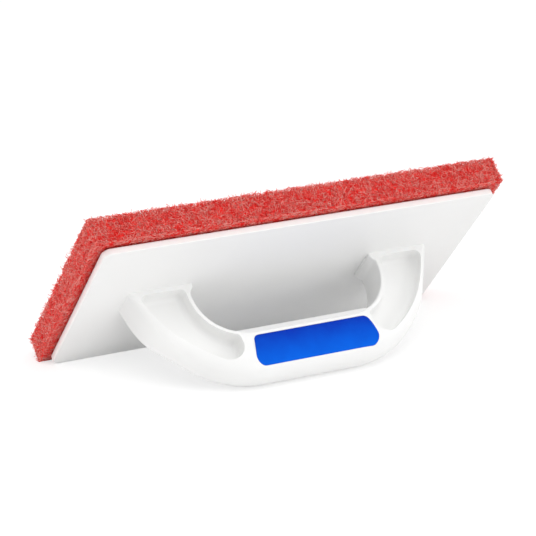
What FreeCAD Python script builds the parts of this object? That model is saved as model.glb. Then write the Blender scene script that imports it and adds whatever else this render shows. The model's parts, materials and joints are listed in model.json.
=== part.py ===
import FreeCAD, Part
import os

import Sketcher
from FreeCAD import Placement, Rotation, Vector

# Hand scrubbing pad holder: a stiff plate with a D-handle on its face and a
# coarse fibre pad on its back. Every piece is drawn flat: X along the plate,
# Y across it, Z = 0 on the face that carries the handle and +Z out to the
# grip. The finished tool then leans as it is set down, on the grip's outer
# edge and on the long edge of the pad or the board, whichever is lower.

SIZES = {
    "board_length": 270.0,
    "board_width": 130.2,
    "board_thickness": 4.4,
    "board_corner": 5.0,
    "board_edge_round": 0.6,
    "hook_thickness": 1.0,
    "hook_inset": 3.0,
    "pad_end_overhang": 5.0,
    "pad_side_overhang": 4.9,
    "pad_thickness": 17.6,
    "pad_corner": 3.0,
    "pad_edge_round": 1.2,
    # handle outline, seen from its long side (half of it: it is mirrored)
    "handle_height": 68.5,
    "grip_flat_reach": 31.7,
    "shoulder_radius": 66.3,
    "shoulder_turn": 62.4,
    "leg_radius": 300.0,
    "foot_inner_reach": 62.5,
    "foot_plate": 2.2,
    "flare_rise": 6.0,
    "flare_blend": 3.5,
    "grip_thickness": 28.7,
    "opening_reach": 34.6,
    "opening_radius": 31.0,
    # handle section, seen along the grip
    "foot_width": 26.0,
    "grip_width": 30.0,
    "swell_length": 26.0,
    "swell_drop": 16.5,
    "grip_round": 13.8,
    "grip_round_reach": 68.0,
    "leg_round": 2.5,
    "opening_grip_round": 2.4,
    "opening_leg_round": 0.9,
    # pockets in the sides of the legs
    "outer_wall": 4.4,
    "shoulder_wall": 5.5,
    "inner_wall": 2.7,
    "foot_floor": 3.0,
    "web_thickness": 6.4,
    "pocket_reach": 45.3,
    "pocket_radius": 87.0,
    "pocket_end_round": 9.5,
    "pocket_inner_round": 4.0,
    "pocket_foot_round": 4.0,
    "pocket_floor_round": 3.5,
    # soft inlays in the grip
    "inlay_height": 20.2,
    "inlay_drop": 5.1,
    "inlay_shift": 2.5,
    "inlay_top_reach": 39.5,
    "inlay_bottom_reach": 44.6,
    "inlay_top_round": 4.0,
    "inlay_bottom_round": 6.0,
    "inlay_depth": 4.0,
    "inlay_crown": 0.8,
    "inlay_crown_drop": 17.7,
    "inlay_crown_radius": 21.0,
    "inlay_edge_round": 0.5,
    "inlay_gap": 0.1,
    # screws and their pilot holes in the web
    "screw_diameter": 3.0,
    "screw_head_diameter": 6.0,
    "screw_head_rim": 0.4,
    "screw_length": 16.0,
    "screw_point": 3.0,
    "cross_width": 0.8,
    "cross_length": 3.6,
    "cross_depth": 1.2,
    "head_recess": 0.2,
    "screw_gap": 0.1,
    "inner_screw_reach": 76.0,
    "outer_screw_reach": 90.0,
    "pilot_spare": 1.0,
}

# Places worked out from the driving sizes, in the same sheet. The legs'
# outer arc runs on from the shoulder's arc without a corner.
PLACES = {
    "pad_length": "board_length + 2 * pad_end_overhang",
    "pad_width": "board_width + 2 * pad_side_overhang",
    "pad_front": "-(board_thickness + hook_thickness)",
    "pad_back": "pad_front - pad_thickness",
    "shoulder_z": "handle_height - shoulder_radius",
    "turn_x": "grip_flat_reach + shoulder_radius * sin(shoulder_turn)",
    "turn_z": "shoulder_z + shoulder_radius * cos(shoulder_turn)",
    "leg_x": "turn_x - leg_radius * sin(shoulder_turn)",
    "leg_z": "turn_z - leg_radius * cos(shoulder_turn)",
    "foot_outer_reach": "leg_x + sqrt(leg_radius^2 - leg_z^2)",
    "opening_height": "handle_height - grip_thickness",
    "opening_z": "opening_height - opening_radius",
    "flare_x": "opening_reach + sqrt(opening_radius^2 - (flare_rise - opening_z)^2)",
    "swell": "(grip_width - foot_width) / 2",
    "swell_end": "handle_height - swell_drop",
    "swell_start": "swell_end - swell_length",
    "swell_radius": "(swell_length^2 + swell^2) / (4 * swell)",
    "inner_side_radius": "opening_radius + inner_wall",
    "pocket_inner_x": "opening_reach + sqrt(inner_side_radius^2 - (foot_floor - opening_z)^2)",
    "pocket_outer_x": "leg_x + sqrt(leg_radius^2 - (foot_floor - leg_z)^2) - outer_wall",
    "pocket_low_z": "opening_z + sqrt(inner_side_radius^2 - (pocket_reach - opening_reach)^2)",
    "crest_z": "shoulder_z + sqrt(shoulder_radius^2 - (pocket_reach - grip_flat_reach)^2)",
    "pocket_high_z": "crest_z - shoulder_wall",
    "pocket_run": "pocket_outer_x - pocket_reach",
    "pocket_rise": "pocket_high_z - foot_floor",
    "pocket_chord": "sqrt(pocket_run^2 + pocket_rise^2)",
    "pocket_drop": "sqrt((pocket_radius / pocket_chord)^2 - 0.25)",
    "pocket_x": "(pocket_outer_x + pocket_reach) / 2 - pocket_drop * pocket_rise",
    "pocket_z": "(foot_floor + pocket_high_z) / 2 - pocket_drop * pocket_run",
    "inlay_bottom": "handle_height - inlay_drop",
    "inlay_top": "inlay_bottom - inlay_height",
    "inlay_crown_z": "handle_height - inlay_crown_drop",
    "inlay_floor": "grip_width / 2 - inlay_depth",
    "inlay_crown_y": "grip_width / 2 + inlay_crown - inlay_crown_radius",
    "head_z": "head_recess - board_thickness",
    "tip_z": "head_z + screw_length",
    "pilot_top": "tip_z + pilot_spare",
    # rounded edges that the set-down tool may touch the floor with
    "grip_touch_y": "grip_round - grip_width / 2",
    "grip_touch_z": "handle_height - grip_round",
    "pad_touch_y": "pad_edge_round - pad_width / 2",
    "pad_touch_z": "pad_front - pad_edge_round",
    "pad_run": "grip_touch_y - pad_touch_y",
    "pad_rise": "grip_touch_z - pad_touch_z",
    "pad_spread": "sqrt(pad_run^2 + pad_rise^2)",
    "lean_on_pad": "atan2(pad_rise; pad_run) + asin((grip_round - pad_edge_round) / pad_spread)",
    "board_run": "grip_touch_y + board_width / 2 - board_edge_round",
    "board_rise": "grip_touch_z + board_edge_round",
    "board_spread": "sqrt(board_run^2 + board_rise^2)",
    "lean_on_board": "atan2(board_rise; board_run) + asin((grip_round - board_edge_round) / board_spread)",
    "lean": "min(lean_on_pad; lean_on_board)",
    "rest_low": "grip_touch_y * sin(lean) - grip_touch_z * cos(lean) - grip_round",
    "rest_near": "grip_touch_y * cos(lean) - grip_touch_z * sin(lean) - grip_round",
    "rest_far": "pad_edge_round - pad_touch_y * cos(lean) - (pad_back + pad_edge_round) * sin(lean)",
}

doc = FreeCAD.newDocument("pad_holder")
sheet = doc.addObject("Spreadsheet::Sheet", "Sizes")
cells = {alias: str(number) for alias, number in SIZES.items()}
cells.update({alias: f"={formula}" for alias, formula in PLACES.items()})
for row, (alias, content) in enumerate(cells.items(), start=1):
    sheet.set(f"A{row}", alias)
    sheet.set(f"B{row}", content)
    sheet.setAlias(f"B{row}", alias)
doc.recompute()


def sized(text):
    """Spell an expression for the document: names become cells of the sheet."""
    words = []
    word = ""
    for letter in text + " ":
        if letter.isalnum() or letter in "_.":
            word += letter
            continue
        words.append(f"Sizes.{word}" if word in cells else word)
        words.append(letter)
        word = ""
    return "".join(words).strip()


def value(text):
    """The number that an expression comes to."""
    return float(sheet.evalExpression(text))


# --- Sketch and body helpers --------------------------------------------

def new_body(name):
    """An empty body."""
    body = doc.addObject("PartDesign::Body", name)
    body.Label = name
    return body


def new_sketch(body, plane, name, lift=None):
    """A sketch on one of the body's own origin planes, lifted off it by an expression."""
    sketch = body.newObject("Sketcher::SketchObject", name)
    origin = [f for f in body.Origin.OriginFeatures if f.Role == plane]
    sketch.AttachmentSupport = [(origin[0], "")]
    sketch.MapMode = "FlatFace"
    if lift:
        sketch.setExpression("AttachmentOffset.Base.z", sized(lift))
    return sketch


def pin(sketch, edge, end, x, y):
    """Hold one end of an edge at a place given by two expressions."""
    for kind, axis, text in (("DistanceX", -2, x), ("DistanceY", -1, y)):
        number = value(text)
        if abs(number) < 1e-9:
            sketch.addConstraint(Sketcher.Constraint("PointOnObject", edge, end, axis))
            continue
        held = sketch.addConstraint(Sketcher.Constraint(kind, -1, 1, edge, end, number))
        sketch.setExpression(f"Constraints[{held}]", sized(text))


def outline(sketch, stops):
    """Draw a closed outline.

    Each stop is (x, y) or (x, y, (centre_x, centre_y), turn), all expressions.
    The longer form says that the edge which leaves the stop is an arc about
    that centre, with turn 1 for anticlockwise and -1 for clockwise.
    """
    first = sketch.GeometryCount
    spots = [Vector(value(stop[0]), value(stop[1]), 0) for stop in stops]
    count = len(stops)
    ends = []
    for index, stop in enumerate(stops):
        here, there = spots[index], spots[(index + 1) % count]
        if len(stop) == 2:
            sketch.addGeometry(Part.LineSegment(here, there), False)
            ends.append((1, 2))
            continue
        centre = Vector(value(stop[2][0]), value(stop[2][1]), 0)
        circle = Part.Circle(centre, Vector(0, 0, 1), (here - centre).Length)
        start, stop_at = (here, there) if stop[3] > 0 else (there, here)
        arc = Part.ArcOfCircle(circle, circle.parameter(start), circle.parameter(stop_at))
        sketch.addGeometry(arc, False)
        ends.append((1, 2) if stop[3] > 0 else (2, 1))
    for index in range(count):
        after = (index + 1) % count
        joint = Sketcher.Constraint(
            "Coincident", first + index, ends[index][1], first + after, ends[after][0]
        )
        sketch.addConstraint(joint)
    for index, stop in enumerate(stops):
        pin(sketch, first + index, ends[index][0], stop[0], stop[1])
        if len(stop) == 4:
            centre = Vector(value(stop[2][0]), value(stop[2][1]), 0)
            radius = (spots[index] - centre).Length
            held = sketch.addConstraint(
                Sketcher.Constraint("Radius", first + index, radius)
            )
            dx = f"(({stop[0]}) - ({stop[2][0]}))"
            dy = f"(({stop[1]}) - ({stop[2][1]}))"
            sketch.setExpression(f"Constraints[{held}]", sized(f"sqrt({dx}^2 + {dy}^2)"))


def rounded_rectangle(length, width, corner):
    """Stops of a rectangle with rounded corners about the origin."""
    x, y = f"(({length}) / 2)", f"(({width}) / 2)"
    inner_x, inner_y = f"({x} - {corner})", f"({y} - {corner})"
    return [
        (f"-{inner_x}", f"-{y}"),
        (inner_x, f"-{y}", (inner_x, f"-{inner_y}"), 1),
        (x, f"-{inner_y}"),
        (x, inner_y, (inner_x, inner_y), 1),
        (inner_x, y),
        (f"-{inner_x}", y, (f"-{inner_x}", inner_y), 1),
        (f"-{x}", inner_y),
        (f"-{x}", f"-{inner_y}", (f"-{inner_x}", f"-{inner_y}"), 1),
    ]


def pad_up(body, sketch, height, name, both_ways=False):
    """Pad a sketch by an expression, along its normal or half each way."""
    pad = body.newObject("PartDesign::Pad", name)
    pad.Profile = sketch
    pad.Type = "Length"
    if both_ways:
        pad.SideType = "Symmetric"
    pad.setExpression("Length", sized(height))
    return pad


def plate(name, length, width, thickness, corner, lift):
    """A flat plate with rounded corners whose underside is at a height."""
    body = new_body(name)
    sketch = new_sketch(body, "XY_Plane", f"{name}_outline", lift)
    outline(sketch, rounded_rectangle(length, width, corner))
    pad_up(body, sketch, thickness, f"{name}_pad")
    doc.recompute()
    return body


def rim_edges(shape, height):
    """Names of the edges that lie flat at one height."""
    names = []
    for index, edge in enumerate(shape.Edges, start=1):
        box = edge.BoundBox
        if abs(box.ZMin - height) < 1e-6 and abs(box.ZMax - height) < 1e-6:
            names.append(f"Edge{index}")
    return names


def fillet_rims(body, heights, radius, name):
    """Round the edges of a plate that lie at the given heights."""
    base = body.Tip
    edges = []
    for height in heights:
        edges += rim_edges(base.Shape, value(height))
    fillet = body.newObject("PartDesign::Fillet", name)
    fillet.Base = (base, edges)
    fillet.setExpression("Radius", sized(radius))
    doc.recompute()


# --- Backing board ------------------------------------------------------

board = plate(
    "backing_board", "board_length", "board_width", "board_thickness", "board_corner",
    "-board_thickness",
)
fillet_rims(board, ["0", "-board_thickness"], "board_edge_round", "board_soft_edges")

SCREW_REACHES = ["-outer_screw_reach", "-inner_screw_reach", "inner_screw_reach", "outer_screw_reach"]

hole_spots = new_sketch(board, "XY_Plane", "board_hole_spots", "-board_thickness")
for reach in SCREW_REACHES:
    spot = Part.Circle(Vector(value(reach), 0, 0), Vector(0, 0, 1), value("screw_diameter / 2"))
    edge = hole_spots.addGeometry(spot, False)
    pin(hole_spots, edge, 3, reach, "0")
    hole_spots.addConstraint(Sketcher.Constraint("Diameter", edge, value("screw_diameter")))
doc.recompute()

board_holes = board.newObject("PartDesign::Hole", "board_screw_holes")
board_holes.Profile = hole_spots
doc.recompute()
board_holes.Threaded = False
board_holes.DepthType = "ThroughAll"
board_holes.HoleCutType = "Countersink"
board_holes.HoleCutCustomValues = True
board_holes.HoleCutCountersinkAngle = 90
board_holes.DrillPoint = "Flat"
board_holes.setExpression("Diameter", sized("screw_diameter + 2 * screw_gap"))
board_holes.setExpression(
    "HoleCutDiameter",
    sized("screw_head_diameter + 2 * screw_gap + 2 * (head_recess + screw_head_rim)"),
)
board_holes.Reversed = True
doc.recompute()


# --- Hook sheet and scrubbing pad ---------------------------------------

hook_sheet = plate(
    "hook_sheet", "board_length - 2 * hook_inset", "board_width - 2 * hook_inset",
    "hook_thickness", "board_corner", "pad_front",
)

scrub_pad = plate(
    "scrub_pad", "pad_length", "pad_width", "pad_thickness", "pad_corner",
    "pad_back",
)
fillet_rims(scrub_pad, ["pad_front", "pad_back"], "pad_edge_round", "pad_soft_edges")


# --- Handle -------------------------------------------------------------

def handle_section():
    """Stops of the handle's section: straight legs that swell into the grip."""
    foot, grip = "(foot_width / 2)", "(grip_width / 2)"
    turn_y = "((foot_width + grip_width) / 4)"
    turn_z = "((swell_start + swell_end) / 2)"
    hollow = f"({foot} + swell_radius)"
    crown = f"({grip} - swell_radius)"
    return [
        (f"-{foot}", "0"),
        (foot, "0"),
        (foot, "swell_start", (hollow, "swell_start"), -1),
        (turn_y, turn_z, (crown, "swell_end"), 1),
        (grip, "swell_end"),
        (grip, "handle_height"),
        (f"-{grip}", "handle_height"),
        (f"-{grip}", "swell_end", (f"-{crown}", "swell_end"), 1),
        (f"-{turn_y}", turn_z, (f"-{hollow}", "swell_start"), -1),
        (f"-{foot}", "swell_start"),
    ]


def handle_side():
    """Stops of the handle's outline seen from its long side."""
    return [
        ("foot_inner_reach", "0"),
        ("foot_outer_reach", "0", ("leg_x", "leg_z"), 1),
        ("turn_x", "turn_z", ("grip_flat_reach", "shoulder_z"), 1),
        ("grip_flat_reach", "handle_height"),
        ("-grip_flat_reach", "handle_height", ("-grip_flat_reach", "shoulder_z"), 1),
        ("-turn_x", "turn_z", ("-leg_x", "leg_z"), 1),
        ("-foot_outer_reach", "0"),
        ("-foot_inner_reach", "0"),
        ("-foot_inner_reach", "foot_plate"),
        ("-flare_x", "flare_rise", ("-opening_reach", "opening_z"), -1),
        ("-opening_reach", "opening_height"),
        ("opening_reach", "opening_height", ("opening_reach", "opening_z"), -1),
        ("flare_x", "flare_rise"),
        ("foot_inner_reach", "foot_plate"),
    ]


def crossed(name, section, side, section_length, side_width):
    """A body that fills one section along X and one outline along Y."""
    body = new_body(name)
    section_sketch = new_sketch(body, "YZ_Plane", f"{name}_section")
    outline(section_sketch, section)
    pad_up(body, section_sketch, section_length, f"{name}_bar", both_ways=True)
    doc.recompute()
    side_sketch = new_sketch(body, "XZ_Plane", f"{name}_side")
    frame_x, frame_z = f"({section_length})", f"(2 * {section_length})"
    outline(side_sketch, [
        (f"-{frame_x}", f"-{frame_x}"),
        (frame_x, f"-{frame_x}"),
        (frame_x, frame_z),
        (f"-{frame_x}", frame_z),
    ])
    outline(side_sketch, side)
    trim = body.newObject("PartDesign::Pocket", f"{name}_trim")
    trim.Profile = side_sketch
    trim.SideType = "Symmetric"
    trim.setExpression("Length", sized(side_width))
    doc.recompute()
    return body


handle_blank = crossed(
    "handle_blank", handle_section(), handle_side(),
    "2 * foot_outer_reach + 10", "2 * grip_width",
)


def edges_along_y(shape, x, z):
    """Names of the edges that run along Y at one place of the side view."""
    names = []
    for index, edge in enumerate(shape.Edges, start=1):
        ends = [vertex.Point for vertex in edge.Vertexes]
        near = all(abs(end.x - x) < 1e-4 and abs(end.z - z) < 1e-4 for end in ends)
        if near and len(ends) == 2:
            names.append(f"Edge{index}")
    return names


def round_along_y(body, spots, radius, name):
    """Round the edges along Y that stand at the given places of the side view."""
    base = body.Tip
    edges = []
    for x, z in spots:
        edges += edges_along_y(base.Shape, value(x), value(z))
    fillet = body.newObject("PartDesign::Fillet", name)
    fillet.Base = (base, edges)
    fillet.setExpression("Radius", sized(radius))
    doc.recompute()


round_along_y(
    handle_blank, [("flare_x", "flare_rise"), ("-flare_x", "flare_rise")],
    "flare_blend", "flare_blends",
)


def eased(reach, start, end, start_radius, end_radius):
    """A radius that shrinks evenly from one reach along X to another."""
    share = min(1.0, max(0.0, (abs(reach) - start) / (end - start)))
    return start_radius + share * (end_radius - start_radius)


def outer_round(reach):
    """Radius of the handle's outer edges: full on the grip, small on the legs."""
    return eased(
        reach, value("grip_round_reach"), value("foot_outer_reach"),
        value("grip_round"), value("leg_round"),
    )


def opening_round(reach):
    """Radius of the edges round the hand opening."""
    return eased(
        reach, value("opening_reach"), value("foot_inner_reach"),
        value("opening_grip_round"), value("opening_leg_round"),
    )


def rim_rounds(shape):
    """Edge numbers of the handle's long rims, each with its two end radii."""
    rounds = []
    side = value("foot_width / 2") - 1e-3
    top, hand = value("handle_height"), value("opening_height")
    for index, edge in enumerate(shape.Edges, start=1):
        start, end = edge.Vertexes[0].Point, edge.Vertexes[-1].Point
        middle = edge.valueAt((edge.FirstParameter + edge.LastParameter) / 2)
        if min(abs(start.y), abs(middle.y), abs(end.y)) < side:
            continue
        level = abs(start.z - end.z) < 1e-6
        if level and min(abs(start.z - top), abs(start.z - hand)) > 1e-6:
            continue
        spoke_x = max(abs(middle.x) - value("opening_reach"), 0)
        spoke = Vector(spoke_x, 0, middle.z - value("opening_z"))
        outside = spoke.Length > value("inner_side_radius")
        radius = outer_round if outside else opening_round
        rounds.append((index, radius(start.x), radius(end.x)))
    return rounds


handle_rounded = doc.addObject("Part::Fillet", "handle_rounded")
handle_rounded.Base = handle_blank
handle_rounded.Edges = rim_rounds(handle_blank.Shape)
doc.recompute()


# --- Pockets in the legs ------------------------------------------------

def leg_pocket(name, end, side):
    """The space of one leg pocket: end is the leg's side in X, side the face in Y."""
    sign = "" if end > 0 else "-"
    body = new_body(name)
    lift = "-web_thickness / 2" if side > 0 else "web_thickness / 2"
    sketch = new_sketch(body, "XZ_Plane", f"{name}_outline", lift)
    outline(sketch, [
        (f"{sign}pocket_inner_x", "foot_floor"),
        (f"{sign}pocket_outer_x", "foot_floor", (f"{sign}pocket_x", "pocket_z"), end),
        (f"{sign}pocket_reach", "pocket_high_z"),
        (f"{sign}pocket_reach", "pocket_low_z", (f"{sign}opening_reach", "opening_z"), -end),
    ])
    pad = pad_up(body, sketch, "grip_width", f"{name}_pad")
    pad.Reversed = side > 0
    doc.recompute()
    corners = (
        ("foot_inner", "pocket_inner_x", "foot_floor", "pocket_foot_round"),
        ("foot_outer", "pocket_outer_x", "foot_floor", "pocket_foot_round"),
        ("grip_inner", "pocket_reach", "pocket_low_z", "pocket_inner_round"),
        ("grip_outer", "pocket_reach", "pocket_high_z", "pocket_end_round"),
    )
    for corner, x, z, radius in corners:
        round_along_y(body, [(f"{sign}{x}", z)], radius, f"{name}_{corner}_corner")
    floor = side * value("web_thickness / 2")
    base = body.Tip
    edges = []
    for index, edge in enumerate(base.Shape.Edges, start=1):
        box = edge.BoundBox
        if abs(box.YMin - floor) < 1e-6 and abs(box.YMax - floor) < 1e-6:
            edges.append(f"Edge{index}")
    fillet = body.newObject("PartDesign::Fillet", f"{name}_floor_round")
    fillet.Base = (base, edges)
    fillet.setExpression("Radius", sized("pocket_floor_round"))
    doc.recompute()
    return body


# --- Soft inlays and their recesses -------------------------------------

def inlay_side(grow):
    """Corners of the inlay's outline, widened by a clearance."""
    low, high = f"(inlay_top - {grow})", f"(inlay_bottom + {grow})"
    short, long = f"(inlay_top_reach + {grow})", f"(inlay_bottom_reach + {grow})"
    return [
        (f"inlay_shift - {short}", low),
        (f"inlay_shift + {short}", low),
        (f"inlay_shift + {long}", high),
        (f"inlay_shift - {long}", high),
    ]


def inlay_shape(name, side, section, grow):
    """A body of the inlay's outline: the inlay itself, or the space it sits in."""
    if side < 0:
        section = [(f"-({y})", *rest) for y, *rest in section]
        section = [
            stop if len(stop) == 2 else (stop[0], stop[1], (f"-{stop[2][0]}", stop[2][1]), -stop[3])
            for stop in section
        ]
    corners = inlay_side(grow)
    body = crossed(name, section, corners, "4 * inlay_bottom_reach", "4 * grip_width")
    round_along_y(body, corners[:2], f"inlay_top_round + {grow}", f"{name}_top_corners")
    round_along_y(body, corners[2:], f"inlay_bottom_round + {grow}", f"{name}_bottom_corners")
    return body


def recess(name, side):
    """The space cut into the grip for one inlay."""
    low, high = "(inlay_top - 4 * inlay_gap)", "(inlay_bottom + 4 * inlay_gap)"
    section = [("inlay_floor", low), ("grip_width", low), ("grip_width", high), ("inlay_floor", high)]
    return inlay_shape(name, side, section, "inlay_gap")


def soft_grip(name, side):
    """One soft inlay: a flat back and a crowned face."""
    low, high = "(inlay_top - 1)", "(inlay_bottom + 1)"
    low_y = f"(inlay_crown_y + sqrt(inlay_crown_radius^2 - ({low} - inlay_crown_z)^2))"
    high_y = f"(inlay_crown_y + sqrt(inlay_crown_radius^2 - ({high} - inlay_crown_z)^2))"
    section = [
        ("inlay_floor", low),
        (low_y, low, ("inlay_crown_y", "inlay_crown_z"), 1),
        (high_y, high),
        ("inlay_floor", high),
    ]
    body = inlay_shape(name, side, section, "0")
    base = body.Tip
    edges = []
    for index, edge in enumerate(base.Shape.Edges, start=1):
        heights = [abs(vertex.Point.y) for vertex in edge.Vertexes]
        if min(heights) > value("inlay_floor") + 1e-3:
            edges.append(f"Edge{index}")
    fillet = body.newObject("PartDesign::Fillet", f"{name}_soft_edge")
    fillet.Base = (base, edges)
    fillet.setExpression("Radius", sized("inlay_edge_round"))
    doc.recompute()
    return body


soft_grips = [soft_grip("soft_grip_front", 1), soft_grip("soft_grip_back", -1)]


# --- Screws -------------------------------------------------------------

def screw(number, reach):
    """One countersunk self-tapping screw, driven from the board's back."""
    body = new_body(f"handle_screw_{number}")
    profile = new_sketch(body, "XZ_Plane", f"screw_profile_{number}")
    head, shank = "(screw_head_diameter / 2)", "(screw_diameter / 2)"
    rim_z = "(head_z + screw_head_rim)"
    neck_z = f"({rim_z} + {head} - {shank})"
    outline(profile, [
        ("0", "head_z"),
        (head, "head_z"),
        (head, rim_z),
        (shank, neck_z),
        (shank, "tip_z - screw_point"),
        ("0", "tip_z"),
    ])
    turn = body.newObject("PartDesign::Revolution", f"screw_turn_{number}")
    turn.Profile = profile
    turn.ReferenceAxis = (profile, ["V_Axis"])
    turn.Angle = 360
    doc.recompute()
    cross = new_sketch(body, "XY_Plane", f"screw_cross_{number}", "head_z")
    arm, half = "(cross_length / 2)", "(cross_width / 2)"
    outline(cross, [
        (f"-{arm}", f"-{half}"), (f"-{half}", f"-{half}"), (f"-{half}", f"-{arm}"),
        (half, f"-{arm}"), (half, f"-{half}"), (arm, f"-{half}"),
        (arm, half), (half, half), (half, arm),
        (f"-{half}", arm), (f"-{half}", half), (f"-{arm}", half),
    ])
    drive = body.newObject("PartDesign::Pocket", f"screw_drive_{number}")
    drive.Profile = cross
    drive.Reversed = True
    drive.setExpression("Length", sized("cross_depth"))
    body.setExpression("Placement.Base.x", sized(reach))
    doc.recompute()
    return body


def pilot(number, reach):
    """The hole up into the leg's web that one screw cuts its thread in."""
    cylinder = doc.addObject("Part::Cylinder", f"pilot_{number}")
    cylinder.setExpression("Radius", sized("screw_diameter / 2 + screw_gap"))
    cylinder.setExpression("Height", sized("pilot_top"))
    cylinder.setExpression("Placement.Base.x", sized(reach))
    return cylinder


screws = [screw(number, reach) for number, reach in enumerate(SCREW_REACHES, start=1)]
handle_screws = doc.addObject("Part::Compound", "handle_screws")
handle_screws.Links = screws


# --- Handle put together ------------------------------------------------

pockets = [
    leg_pocket(f"pocket_{end_name}_{side_name}", end, side)
    for end, end_name in ((-1, "left"), (1, "right"))
    for side, side_name in ((1, "front"), (-1, "back"))
]
pilots = [pilot(number, reach) for number, reach in enumerate(SCREW_REACHES, start=1)]
recesses = [recess("recess_front", 1), recess("recess_back", -1)]


handle_cuts = doc.addObject("Part::Compound", "handle_cuts")
handle_cuts.Links = pockets + pilots + recesses
handle = doc.addObject("Part::Cut", "handle")
handle.Base = handle_rounded
handle.Tool = handle_cuts
doc.recompute()


# --- The tool as it is set down -----------------------------------------

# The floor is the line that touches the grip's rounded outer edge and the
# lower of the two rounded long edges behind it.
nodes = [board, handle, *soft_grips, hook_sheet, scrub_pad, handle_screws]
for node in nodes:
    node.Label = node.Name
rest = Placement(
    Vector(0, -value("rest_near + rest_far") / 2, -value("rest_low")),
    Rotation(Vector(1, 0, 0), 180 - value("lean")),
)
for node in nodes:
    node.Placement = rest
doc.recompute()

for item in doc.Objects:
    if "Invalid" in item.State or "Error" in item.State:
        raise RuntimeError(f"{item.Name} failed: {item.State}")
os.makedirs("parts", exist_ok=True)
for node in nodes:
    if node.Shape.isNull() or not node.Shape.isValid():
        raise RuntimeError(f"{node.Label} has no valid shape")
    node.Shape.exportStep(f"parts/{node.Label}.step")
    print(node.Label, len(node.Shape.Solids), round(node.Shape.Volume, 1))
print("lean", round(value("lean"), 3), "shift", rest.Base)
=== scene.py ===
"""Looks of a hand scrubbing tool.

A white board with a white D-handle, blue soft inlays in the grip and a coarse red fibre pad.
"""

import json
import math

import bpy
import numpy as np
from mathutils import Matrix, Vector


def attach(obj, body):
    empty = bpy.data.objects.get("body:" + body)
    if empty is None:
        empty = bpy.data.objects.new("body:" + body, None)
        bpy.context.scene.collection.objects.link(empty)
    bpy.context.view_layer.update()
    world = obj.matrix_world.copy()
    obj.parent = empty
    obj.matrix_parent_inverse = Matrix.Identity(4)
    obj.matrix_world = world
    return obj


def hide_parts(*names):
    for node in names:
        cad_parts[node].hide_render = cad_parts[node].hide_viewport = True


MM = 0.001
SEED = 20

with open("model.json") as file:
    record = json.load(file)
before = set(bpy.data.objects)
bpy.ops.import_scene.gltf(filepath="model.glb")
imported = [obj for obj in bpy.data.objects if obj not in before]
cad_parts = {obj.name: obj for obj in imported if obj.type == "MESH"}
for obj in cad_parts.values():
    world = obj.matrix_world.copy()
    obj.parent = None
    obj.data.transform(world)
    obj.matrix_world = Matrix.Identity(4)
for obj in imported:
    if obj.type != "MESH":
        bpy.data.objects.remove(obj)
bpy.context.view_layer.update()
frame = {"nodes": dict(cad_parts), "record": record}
nodes = frame["nodes"]


# --- Directions of the leaning tool ---------------------------------------

working_face = next(m for m in frame["record"]["mounts"] if m["name"] == "working_face")
ALONG = Vector((1, 0, 0))
OUT = -Vector(working_face["axis"]).normalized()
ACROSS = OUT.cross(ALONG)
LEAN = Matrix((ALONG, ACROSS, OUT)).transposed()


def reach(node):
    """Lowest and highest reach of a node along, across and out of the board."""
    places = np.array([vertex.co for vertex in nodes[node].data.vertices]) @ np.array(LEAN)
    return places.min(axis=0), places.max(axis=0)


# --- Material helpers -----------------------------------------------------

# sockets of a Mix node that mixes colours
MIX_A, MIX_B, MIXED = 6, 7, 2


def from_hex(code):
    """Linear RGBA of an sRGB hex colour."""
    parts = [int(code[i:i + 2], 16) / 255 for i in (1, 3, 5)]
    linear = [p / 12.92 if p <= 0.04045 else ((p + 0.055) / 1.055) ** 2.4 for p in parts]
    return (*linear, 1.0)


def add(tree, kind, sockets=None, **settings):
    """Add a node: settings go on the node, sockets take a number, colour or another output."""
    node = tree.nodes.new(kind)
    for name, setting in settings.items():
        setattr(node, name, setting)
    for name, source in (sockets or {}).items():
        if isinstance(source, bpy.types.NodeSocket):
            tree.links.new(source, node.inputs[name])
        else:
            node.inputs[name].default_value = source
    return node


def new_material(name):
    """An empty node material, with its tree."""
    material = bpy.data.materials.new(name)
    material.use_nodes = True
    material.node_tree.nodes.clear()
    return material, material.node_tree


def per_metre(size_mm):
    """The texture scale at which one cell is as large as a size in millimetres."""
    return 1 / (size_mm * MM)


# --- Materials ------------------------------------------------------------

def moulded_polypropylene(name, flow_mm, grain_mm):
    """White polypropylene, injection moulded: satin, with a fine spark-eroded grain
    and a faint unevenness where the melt flowed. The real grain is about 0.1 mm and
    is drawn coarser, so that it shows."""
    material, tree = new_material(name)
    place = add(tree, "ShaderNodeTexCoord").outputs["Object"]
    flow = add(tree, "ShaderNodeTexNoise", {
        "Vector": place, "Scale": per_metre(flow_mm), "Detail": 3.0, "Roughness": 0.5,
    })
    white = add(tree, "ShaderNodeMix", {
        "Factor": flow.outputs["Fac"], MIX_A: from_hex("#F3F3F2"), MIX_B: from_hex("#F8F8F7"),
    }, data_type="RGBA")
    gloss = add(tree, "ShaderNodeMapRange", {
        "Value": flow.outputs["Fac"], "To Min": 0.34, "To Max": 0.46,
    })
    grain = add(tree, "ShaderNodeTexNoise", {
        "Vector": place, "Scale": per_metre(grain_mm), "Detail": 2.0, "Roughness": 0.6,
    })
    bump = add(tree, "ShaderNodeBump", {
        "Height": grain.outputs["Fac"], "Strength": 0.12, "Distance": 0.05 * MM,
    })
    plastic = add(tree, "ShaderNodeBsdfPrincipled", {
        "Base Color": white.outputs[MIXED], "Roughness": gloss.outputs["Result"],
        "IOR": 1.49, "Normal": bump.outputs["Normal"],
    })
    add(tree, "ShaderNodeOutputMaterial", {"Surface": plastic.outputs["BSDF"]})
    return material


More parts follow.
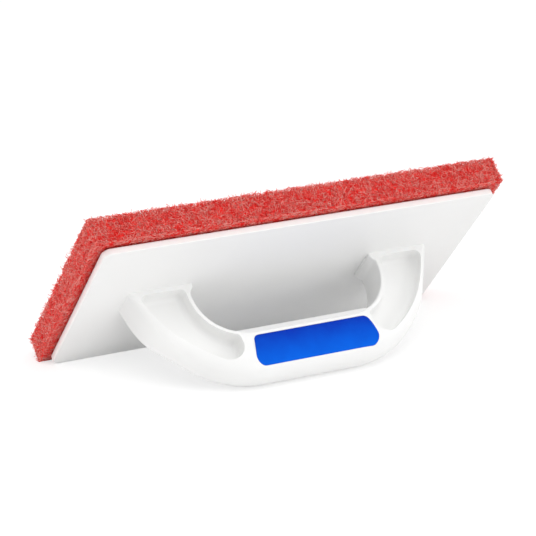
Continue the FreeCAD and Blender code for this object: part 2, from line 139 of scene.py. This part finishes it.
def soft_touch_rubber():
    """Blue thermoplastic rubber moulded into the grip: matt, with a fine leathery grain of about
    half a millimetre, and paler towards the outer edge, which is painted light for the side that
    faces the lamps and the floor."""
    material, tree = new_material("blue_soft_rubber")
    place = add(tree, "ShaderNodeTexCoord").outputs["Object"]
    rubbed = add(tree, "ShaderNodeTexNoise", {
        "Vector": place, "Scale": per_metre(14.0), "Detail": 4.0, "Roughness": 0.55,
    })
    low, high = reach("soft_grip_front")
    # painted light: the blue grows paler towards the outer edge, the side that faces the lamps and
    # the floor
    outward = add(tree, "ShaderNodeVectorMath", {0: place, 1: OUT}, operation="DOT_PRODUCT")
    painted_light_outward = add(tree, "ShaderNodeMapRange", {
        "Value": outward.outputs["Value"], "From Min": low[2], "From Max": high[2],
        "To Min": -0.25, "To Max": 0.75,
    })
    # a random mottle, plus the painted light towards the outer edge
    mottle_and_painted_light = add(tree, "ShaderNodeMath", {
        0: rubbed.outputs["Fac"], 1: 0.5, 2: painted_light_outward.outputs["Result"],
    }, operation="MULTIPLY_ADD", use_clamp=True)
    blue = add(tree, "ShaderNodeMix", {
        "Factor": mottle_and_painted_light.outputs["Value"], MIX_A: from_hex("#0036B8"), MIX_B: from_hex("#0064E4"),
    }, data_type="RGBA")
    grain = add(tree, "ShaderNodeTexVoronoi", {
        "Vector": place, "Scale": per_metre(0.5), "Randomness": 1.0,
    }, feature="SMOOTH_F1")
    bump = add(tree, "ShaderNodeBump", {
        "Height": grain.outputs["Distance"], "Strength": 0.25, "Distance": 0.06 * MM,
    })
    gloss = add(tree, "ShaderNodeMapRange", {
        "Value": rubbed.outputs["Fac"], "To Min": 0.46, "To Max": 0.6,
    })
    rubber = add(tree, "ShaderNodeBsdfPrincipled", {
        "Base Color": blue.outputs[MIXED], "Roughness": gloss.outputs["Result"],
        "IOR": 1.5, "Specular IOR Level": 0.06, "Normal": bump.outputs["Normal"],
    })
    add(tree, "ShaderNodeOutputMaterial", {"Surface": rubber.outputs["BSDF"]})
    return material


def hooked_nylon():
    """Hook tape: black nylon with rows of tiny moulded hooks, 1.3 mm apart."""
    material, tree = new_material("hook_tape_nylon")
    place = add(tree, "ShaderNodeTexCoord").outputs["Object"]
    hooks = add(tree, "ShaderNodeTexVoronoi", {
        "Vector": place, "Scale": per_metre(1.3), "Randomness": 0.25,
    })
    hook_tips_and_highlight = add(tree, "ShaderNodeMapRange", {
        "Value": hooks.outputs["Distance"], "From Min": 0.15, "From Max": 0.5,
        "To Min": 1.0, "To Max": 0.0,
    })
    # painted highlight: the hook tips are drawn a lighter grey than the black sheet; the same mask
    # gives the hooks their bump
    black = add(tree, "ShaderNodeMix", {
        "Factor": hook_tips_and_highlight.outputs["Result"], MIX_A: from_hex("#1E1516"), MIX_B: from_hex("#4A3A3B"),
    }, data_type="RGBA")
    bump = add(tree, "ShaderNodeBump", {
        "Height": hook_tips_and_highlight.outputs["Result"], "Strength": 0.8, "Distance": 0.4 * MM,
    })
    nylon = add(tree, "ShaderNodeBsdfPrincipled", {
        "Base Color": black.outputs[MIXED], "Roughness": 0.55, "Normal": bump.outputs["Normal"],
    })
    add(tree, "ShaderNodeOutputMaterial", {"Surface": nylon.outputs["BSDF"]})
    return material


def zinc_plated_steel():
    """Self-tapping screw steel, zinc plated: a cool metal, lightly clouded."""
    material, tree = new_material("zinc_plated_steel")
    place = add(tree, "ShaderNodeTexCoord").outputs["Object"]
    cloud = add(tree, "ShaderNodeTexNoise", {
        "Vector": place, "Scale": per_metre(1.5), "Detail": 3.0,
    })
    zinc = add(tree, "ShaderNodeMix", {
        "Factor": cloud.outputs["Fac"], MIX_A: from_hex("#B4B8BC"), MIX_B: from_hex("#D2D4D6"),
    }, data_type="RGBA")
    gloss = add(tree, "ShaderNodeMapRange", {
        "Value": cloud.outputs["Fac"], "To Min": 0.25, "To Max": 0.45,
    })
    steel = add(tree, "ShaderNodeBsdfPrincipled", {
        "Base Color": zinc.outputs[MIXED], "Roughness": gloss.outputs["Result"], "Metallic": 1.0,
    })
    add(tree, "ShaderNodeOutputMaterial", {"Surface": steel.outputs["BSDF"]})
    return material


def bonded_polyester(name, painted_shade_red, middle, light):
    """Coarse crimped polyester fibre bonded with resin: each fibre has its own red, darkened by
    painted shade the deeper it lies, and in random clumps the red turns deeper, painted shade for
    the hollows of the mat."""
    material, tree = new_material(name)
    place = add(tree, "ShaderNodeTexCoord").outputs["Object"]
    clump = add(tree, "ShaderNodeTexNoise", {
        "Vector": place, "Scale": per_metre(9.0), "Detail": 4.0, "Roughness": 0.75,
    })
    # painted shade: in random clumps the red is drawn deeper, for the hollows of the mat
    painted_hollow_shade = add(tree, "ShaderNodeMapRange", {
        "Value": clump.outputs["Fac"], "From Min": 0.40, "From Max": 0.56, "To Max": 0.9,
    })
    tone_and_painted_shade = add(tree, "ShaderNodeAttribute", attribute_name="tone_and_painted_shade")
    fibre = add(tree, "ShaderNodeMix", {
        "Factor": tone_and_painted_shade.outputs["Fac"], MIX_A: from_hex(middle), MIX_B: from_hex(light),
    }, data_type="RGBA")
    # each fibre's own tone, with painted shade from its depth and from the hollows
    depth = add(tree, "ShaderNodeMath", {
        0: tone_and_painted_shade.outputs["Fac"], 1: 0.9, 2: painted_hollow_shade.outputs["Result"],
    }, operation="MULTIPLY_ADD", use_clamp=True)
    red = add(tree, "ShaderNodeMix", {
        "Factor": depth.outputs["Value"], MIX_A: from_hex(painted_shade_red), MIX_B: fibre.outputs[MIXED],
    }, data_type="RGBA")
    resin = add(tree, "ShaderNodeBsdfPrincipled", {
        "Base Color": red.outputs[MIXED], "Roughness": 0.5, "IOR": 1.5, "Specular IOR Level": 0.3,
        "Sheen Weight": 0.5, "Sheen Roughness": 0.5, "Sheen Tint": from_hex("#FF9A90"),
    })
    add(tree, "ShaderNodeOutputMaterial", {"Surface": resin.outputs["BSDF"]})
    return material


# --- Scrubbing pad --------------------------------------------------------

# the block of fibre under the single fibres
CORE_INSET = 0.55 * MM
CORE_VOXEL = 2.2 * MM
LUMP_SIZE = 3.5 * MM
LUMP_DETAIL = 2
LUMP_HEIGHT = 1.2 * MM
LUMP_MIDDLE = 0.55

# one fibre: the real ones are about 0.2 mm thick and are drawn thicker, so that they show
FIBRE_RADIUS = 0.18 * MM
FIBRE_POINTS = 5
FIBRE_SIDES = 3
FIBRE_LENGTH_MM = (3.0, 7.0)
CURL_RADIUS_MM = (0.8, 2.6)
MOST_CURL = 4.5                 # radians
CURL_TILT = (0, 0.45)           # out of the face: mean and spread, radians
SHADE_RANGE = (0, 1.1)
# painted shade: the share of a fibre's tone taken away where it lies deepest
PAINTED_SHADE_WITH_DEPTH = 0.3
SHADE_POWER = 1.5

# how deep a fibre may lie, and how far it may stand proud of the pad's faces
FIBRE_DEPTH = 0.6 * MM
DEPTH_SHARE = (-0.4, 1.0)
FUZZ = 0.7 * MM
FUZZ_SHARE = (0.2, 1.0)

# loose ends: wider arcs that stand up from the face
LOOSE_SHARE = 0.35
LOOSE_SPREAD = 2.0
LOOSE_TILT = (1.3, 0.3)
LOOSE_FUZZ = 4.5 * MM

# fibres on each face: side, direction, how many pieces, fibres in each piece
PAD_FACES = {
    "back": (2, -1, 4, 6500),
    "top_edge": (1, 1, 2, 3600),
    "bottom_edge": (1, -1, 2, 3600),
    "left_end": (0, -1, 1, 3600),
    "right_end": (0, 1, 1, 3600),
}
FRONT_TRIES = 30000             # most of these fall under the board and are left out
RIM_UNDER_BOARD = 2 * MM

pad_low, pad_high = reach("scrub_pad")
pad_length = pad_high[0] - pad_low[0]
rng = np.random.default_rng(SEED)


def pad_core():
    """The mass of fibre inside the pad: a lumpy block a little under the pad's size."""
    bpy.ops.object.select_all(action="DESELECT")
    bpy.ops.mesh.primitive_cube_add(size=1)
    core = bpy.context.object
    core.name = "scrub_pad_core"
    core.scale = Vector(pad_high - pad_low) - Vector((2, 2, 2)) * CORE_INSET
    bpy.ops.object.transform_apply(location=False, rotation=False, scale=True)
    remesh = core.modifiers.new("even_grid", "REMESH")
    remesh.mode = "VOXEL"
    remesh.voxel_size = CORE_VOXEL
    bpy.ops.object.modifier_apply(modifier=remesh.name)
    lumps = bpy.data.textures.new("fibre_lumps", "CLOUDS")
    lumps.noise_scale = LUMP_SIZE
    lumps.noise_depth = LUMP_DETAIL
    swell = core.modifiers.new("lumps", "DISPLACE")
    swell.texture = lumps
    swell.texture_coords = "LOCAL"
    swell.strength = LUMP_HEIGHT
    swell.mid_level = LUMP_MIDDLE
    bpy.ops.object.modifier_apply(modifier=swell.name)
    core.rotation_euler = LEAN.to_euler()
    core.location = LEAN @ (Vector(pad_low + pad_high) / 2)
    bpy.ops.object.transform_apply()
    return core


def scattered(side, direction, count):
    """Places spread evenly over one face of the pad, and the way out of that face."""
    places = rng.uniform(pad_low, pad_high, (count, 3))
    places[:, side] = pad_high[side] if direction > 0 else pad_low[side]
    outward = np.zeros((count, 3))
    outward[:, side] = direction
    return places, outward


def curls(places, outward):
    """Strands of crimped fibre: each is an arc that leans in and out of its face."""
    count = len(places)
    each, each_strand = (count, 1), (count, 1, 1)

    # the two ways that an arc spans: one in the face, one that leans out of it
    first = rng.normal(size=(count, 3))
    first -= (first * outward).sum(axis=1, keepdims=True) * outward
    first = first / np.linalg.norm(first, axis=1, keepdims=True)
    loose = rng.random(each) < LOOSE_SHARE
    tilt = np.where(loose, rng.normal(*LOOSE_TILT, each), rng.normal(*CURL_TILT, each))
    second = np.cross(outward, first) * np.cos(tilt) + outward * np.sin(tilt)

    # the arcs, each round its own middle
    radius = rng.uniform(*CURL_RADIUS_MM, each_strand) * MM
    radius *= np.where(loose, LOOSE_SPREAD, 1.0)[:, None]
    sweep = rng.uniform(*FIBRE_LENGTH_MM, each_strand) * MM / radius
    start = rng.uniform(0, 2 * math.pi, each_strand)
    along = np.linspace(0, 1, FIBRE_POINTS)[None, :, None]
    angle = start + np.minimum(sweep, MOST_CURL) * along
    strands = radius * (np.cos(angle) * first[:, None] + np.sin(angle) * second[:, None])
    strands -= strands.mean(axis=1, keepdims=True)

    # their places, kept near the pad's faces and off the board
    depth = rng.uniform(*DEPTH_SHARE, each) * FIBRE_DEPTH
    strands += (places - outward * depth)[:, None]
    fuzz = (np.where(loose, LOOSE_FUZZ, FUZZ) * rng.uniform(*FUZZ_SHARE, each))[:, None]
    room_high = pad_high[None, None] + fuzz * np.array([1.0, 1.0, 0.0])
    strands = np.clip(strands, pad_low[None, None] - fuzz, room_high - FIBRE_RADIUS)

    # painted shade: the deeper a fibre lies, the darker its tone; the rest is its own random tone
    painted_depth_shade = PAINTED_SHADE_WITH_DEPTH * depth[:, 0] / FIBRE_DEPTH
    tone_and_painted_shade = np.clip(rng.uniform(*SHADE_RANGE, count) - painted_depth_shade, 0, 1) ** SHADE_POWER
    return strands, np.cross(first, second), tone_and_painted_shade


def fibre_piece(name, places, outward):
    """One mesh of many fibres, each a thin three-sided tube with closed ends."""
    strands, binormal, tone_and_painted_shade = curls(places, outward)

    # a ring of points round each strand's points, none of them under the floor
    ahead = np.gradient(strands, axis=1)
    ahead /= np.linalg.norm(ahead, axis=2, keepdims=True) + 1e-12
    beside = np.cross(ahead, binormal[:, None])
    turn = np.linspace(0, 2 * math.pi, FIBRE_SIDES, endpoint=False)[:, None]
    rings = np.cos(turn) * binormal[:, None, None] + np.sin(turn) * beside[:, :, None]
    points = (strands[:, :, None] + FIBRE_RADIUS * rings).reshape(-1, 3) @ np.array(LEAN).T
    points[:, 2] = np.maximum(points[:, 2], 0)

    # walls between the rings, and a cap on each end
    around = np.arange(FIBRE_SIDES)
    step = np.stack([around, np.roll(around, -1), np.roll(around, -1), around], axis=1)
    step += np.array([0, 0, FIBRE_SIDES, FIBRE_SIDES])
    rows = FIBRE_SIDES * np.arange(FIBRE_POINTS - 1)
    walls = (step[None] + rows[:, None, None]).reshape(-1, 4)
    caps = np.stack([around[::-1], around + rows[-1] + FIBRE_SIDES])
    firsts = FIBRE_SIDES * FIBRE_POINTS * np.arange(len(strands))[:, None, None]
    faces = (walls + firsts).reshape(-1, 4).tolist()
    faces += (caps + firsts).reshape(-1, FIBRE_SIDES).tolist()

    mesh = bpy.data.meshes.new(name)
    mesh.from_pydata(points, [], faces)
    shades = mesh.attributes.new("tone_and_painted_shade", "FLOAT", "POINT")
    shades.data.foreach_set("value", np.repeat(tone_and_painted_shade, FIBRE_SIDES * FIBRE_POINTS))
    mesh.shade_smooth()
    piece = bpy.data.objects.new(name, mesh)
    bpy.context.collection.objects.link(piece)
    return piece


def front_rim():
    """Places on the pad's front face, only where it shows round the hook sheet."""
    places, outward = scattered(2, 1, FRONT_TRIES)
    sheet_low, sheet_high = reach("hook_sheet")
    past_low = places[:, :2] > sheet_low[:2] + RIM_UNDER_BOARD
    past_high = places[:, :2] < sheet_high[:2] - RIM_UNDER_BOARD
    shown = ~(past_low & past_high).all(axis=1)
    return places[shown], outward[shown]


def scrub_pad():
    """The fibre pad: its core and the fibres over all its faces."""
    # the core is drawn a deeper red than the fibres: painted shade for the inside of the mat
    painted_shade_red = bonded_polyester("red_polyester_painted_shade", "#FF1A14", "#FF3830", "#FF4A40")
    fibre = bonded_polyester("red_polyester_fibre", "#FF0602", "#FF4238", "#FFB0A6")
    core = pad_core()
    core.data.materials.append(painted_shade_red)
    pieces = [core]
    for face, (side, direction, split, count) in PAD_FACES.items():
        for part in range(split):
            places, outward = scattered(side, direction, count)
            stretch = pad_low[0] + pad_length * (part + rng.random(count)) / split
            if side:
                places[:, 0] = stretch
            pieces.append(fibre_piece(f"scrub_pad_{face}_fibres_{part + 1}", places, outward))
    pieces.append(fibre_piece("scrub_pad_front_rim_fibres", *front_rim()))
    for piece in pieces[1:]:
        piece.data.materials.append(fibre)
    for piece in pieces:
        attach(piece, "root")
    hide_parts("scrub_pad")


# --- Finishes of the CAD nodes --------------------------------------------

def finish_node(node, material):
    """Give a CAD node its material."""
    mesh = nodes[node].data
    mesh.materials.clear()
    mesh.materials.append(material)


finish_node("backing_board", moulded_polypropylene("board_polypropylene", 60.0, 0.5))
finish_node("handle", moulded_polypropylene("handle_polypropylene", 25.0, 0.7))
rubber = soft_touch_rubber()
finish_node("soft_grip_front", rubber)
finish_node("soft_grip_back", rubber)
finish_node("hook_sheet", hooked_nylon())
finish_node("handle_screws", zinc_plated_steel())
scrub_pad()


# --- Floor, light and camera ----------------------------------------------

FLOOR_SIZE = 8
FLOOR_WHITE = 1.25              # half of what the camera sees is this, half the lit paper
FLOOR_WHITE_SHARE = 0.5
WORLD_STRENGTH = 0.67

# name, place, side of the square in metres, watts
SOFT_BOXES = (
    ("overhead_soft_box", (0.1, -0.8, 1.6), 1.4, 9),
    ("right_soft_box", (1.4, -1.1, 0.2), 1.2, 5),
    ("left_soft_box", (-1.6, 0.8, 0.6), 1.0, 12),
    ("low_front_soft_box", (0.5, -2.0, 0.1), 0.7, 5),
)
LAMP_AIM = Vector((0, 0, 0.05))

CAMERA_PLACE = Vector((-0.6505, -1.2018, 0.5610))
CAMERA_AIM = Vector((-0.01477, -0.02071, 0.06522))
CAMERA_ROLL = math.radians(1.017)
CAMERA_LENS = 155.69
CAMERA_SENSOR = 36
CAMERA_REACH = 20


def show_white(tree, shader, light, strength, share):
    """Blend a shader with plain white light for the camera and for mirror-like rays."""
    path = add(tree, "ShaderNodeLightPath")
    seen = add(tree, "ShaderNodeMath", {
        0: path.outputs["Is Camera Ray"], 1: path.outputs["Is Glossy Ray"],
    }, operation="MAXIMUM")
    seen = add(tree, "ShaderNodeMath", {
        0: seen.outputs["Value"], 1: path.outputs["Is Transmission Ray"],
    }, operation="MAXIMUM")
    blend = add(tree, "ShaderNodeMath", {0: seen.outputs["Value"], 1: share}, operation="MULTIPLY")
    white = add(tree, light, {"Color": (1, 1, 1, 1), "Strength": strength})
    return add(tree, "ShaderNodeMixShader", {
        0: blend.outputs["Value"], 1: shader, 2: white.outputs[0],
    })


def studio_floor():
    """A plain white sheet under the tool."""
    bpy.ops.object.select_all(action="DESELECT")
    bpy.ops.mesh.primitive_plane_add(size=FLOOR_SIZE)
    floor = bpy.context.object
    floor.name = "studio_floor"
    material, tree = new_material("white_floor_paper")
    paper = add(tree, "ShaderNodeBsdfDiffuse", {"Color": from_hex("#F9F9F9")})
    mixed = show_white(
        tree, paper.outputs["BSDF"], "ShaderNodeEmission", FLOOR_WHITE, FLOOR_WHITE_SHARE)
    add(tree, "ShaderNodeOutputMaterial", {"Surface": mixed.outputs["Shader"]})
    floor.data.materials.append(material)


def studio_world():
    """Even white surroundings, plain white where the camera sees them."""
    world = bpy.data.worlds.new("studio")
    world.use_nodes = True
    tree = world.node_tree
    tree.nodes.clear()
    dome = add(tree, "ShaderNodeBackground", {"Color": (1, 1, 1, 1), "Strength": WORLD_STRENGTH})
    mixed = show_white(tree, dome.outputs["Background"], "ShaderNodeBackground", 1.0, 1.0)
    add(tree, "ShaderNodeOutputWorld", {"Surface": mixed.outputs["Shader"]})
    bpy.context.scene.world = world


def soft_box(name, place, size, watts):
    """A square area lamp that faces the tool."""
    lamp = bpy.data.lights.new(name, "AREA")
    lamp.size = size
    lamp.energy = watts
    stand = bpy.data.objects.new(name, lamp)
    stand.location = place
    stand.rotation_euler = (LAMP_AIM - Vector(place)).to_track_quat("-Z", "Y").to_euler()
    bpy.context.collection.objects.link(stand)


def camera():
    """A long lens, a little above the tool and off its left end."""
    data = bpy.data.cameras.new("camera")
    data.lens = CAMERA_LENS
    data.sensor_width = CAMERA_SENSOR
    data.clip_end = CAMERA_REACH
    stand = bpy.data.objects.new("camera", data)
    aim = (CAMERA_AIM - CAMERA_PLACE).to_track_quat("-Z", "Y").to_matrix()
    turned = aim @ Matrix.Rotation(CAMERA_ROLL, 3, "Z")
    stand.matrix_world = Matrix.Translation(CAMERA_PLACE) @ turned.to_4x4()
    bpy.context.collection.objects.link(stand)
    bpy.context.scene.camera = stand


studio_floor()
studio_world()
for box in SOFT_BOXES:
    soft_box(*box)
camera()
bpy.context.scene.view_settings.view_transform = "Standard"
